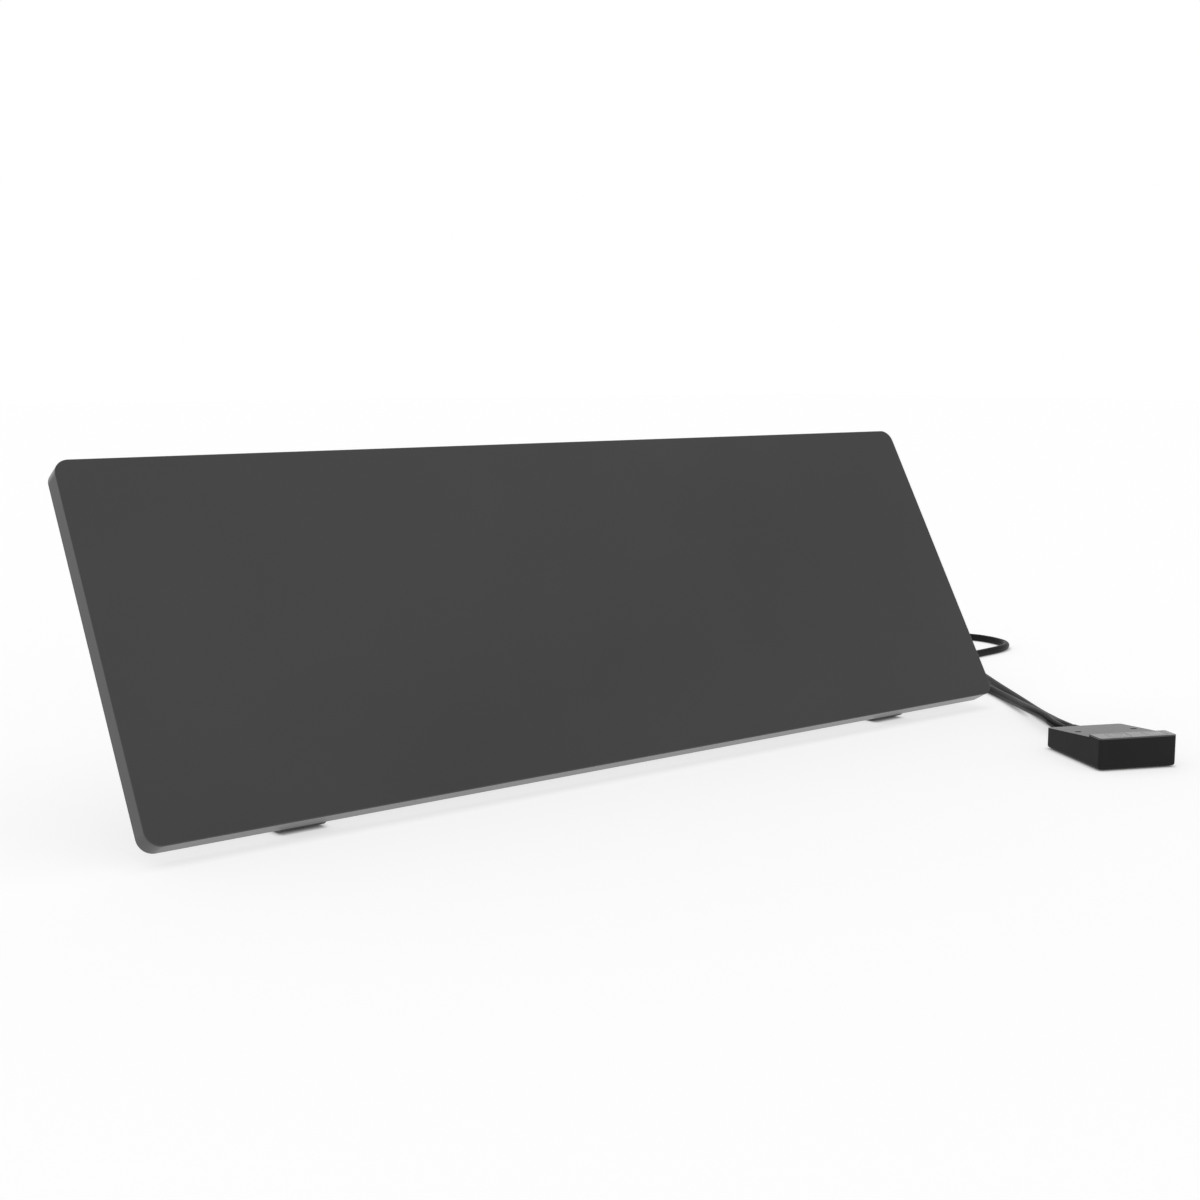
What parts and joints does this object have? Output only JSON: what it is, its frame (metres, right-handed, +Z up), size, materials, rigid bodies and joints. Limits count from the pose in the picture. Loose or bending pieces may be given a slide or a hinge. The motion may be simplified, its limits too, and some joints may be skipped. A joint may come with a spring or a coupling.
{
  "type": "under-desk heater",
  "caption": "Flat dark panel heater leaning back on bent strip feet, with a corded control box that has press keys, and a tied mains cord with its plug.",
  "frame": {"origin": "on the floor under the middle of the panel and its feet, measured without the leads and the control box", "axes": "+X along the panel, to the right for someone facing it, +Y towards its back, +Z up"},
  "size_m": [1.2177, 0.5851, 0.2746],
  "materials": {
    "shell_paint": "fine satin powder coat, anthracite",
    "cover_paint": "matte powder coat, anthracite",
    "foot_paint": "matte powder coat, black",
    "zinc_steel": "zinc plated sheet",
    "screw_steel": "zinc plated",
    "heating_film": "carbon print between films",
    "copper": "copper foil",
    "insulation": "mineral fibre board",
    "limiter_metal": "drawn cap",
    "box_plastic": "fine grained moulding",
    "terminal_plastic": "moulded",
    "wire_sheath": "silicone sheath",
    "pad_rubber": "matte",
    "boot_rubber": "matte moulded",
    "cord_sheath": "smooth matte sheath",
    "control_plastic": "fine grained moulding, black",
    "key_plastic": "smooth moulding, black",
    "board_laminate": "solder mask",
    "part_plastic": "moulded",
    "switch_plastic": "moulded",
    "tie_fabric": "woven hook and loop",
    "plug_plastic": "moulded, black",
    "pin_metal": "nickel plated"
  },
  "bodies": {
    "heater": {"front_shell": "shell_paint", "support_frame": "zinc_steel", "heating_film": "heating_film", "bus_bars": "copper", "insulation_board": "insulation", "thermal_limiter": "limiter_metal", "rear_cover": "cover_paint", "cover_screws": "screw_steel", "foot_left": "foot_paint", "foot_right": "foot_paint", "foot_screws": "screw_steel", "clinch_nuts": "zinc_steel", "foot_pads": "pad_rubber", "connection_base": "box_plastic", "connection_lid": "box_plastic", "lid_screws": "screw_steel", "base_screws": "screw_steel", "terminal_block": "terminal_plastic", "supply_wires": "wire_sheath", "cord_gland": "boot_rubber", "control_base": "control_plastic", "control_cover": "control_plastic", "control_screws": "screw_steel", "control_feet": "pad_rubber", "control_board": "board_laminate", "control_relay": "part_plastic", "control_module": "part_plastic", "control_terminals": "terminal_plastic", "power_switch": "switch_plastic", "level_switch": "switch_plastic", "cord_boot": "boot_rubber", "heater_lead": "cord_sheath", "mains_lead": "cord_sheath", "mains_coil": "cord_sheath", "coil_tie": "tie_fabric", "mains_tail": "cord_sheath", "plug_body": "plug_plastic", "plug_boot": "boot_rubber", "plug_pins": "pin_metal", "plug_contacts": "pin_metal"},
    "power_press": {"power_key": "key_plastic", "power_plunger": "key_plastic"},
    "level_press": {"level_key": "key_plastic", "level_plunger": "key_plastic"}
  },
  "joints": [
    {"name": "power_key_press", "type": "slide", "parent": "heater", "child": "power_press", "axis": [0, 0, -1], "range_m": [0, 0.0008], "stiffness_N_per_m": 1500},
    {"name": "level_key_press", "type": "slide", "parent": "heater", "child": "level_press", "axis": [0, 0, -1], "range_m": [0, 0.0008], "stiffness_N_per_m": 1500}
  ]
}
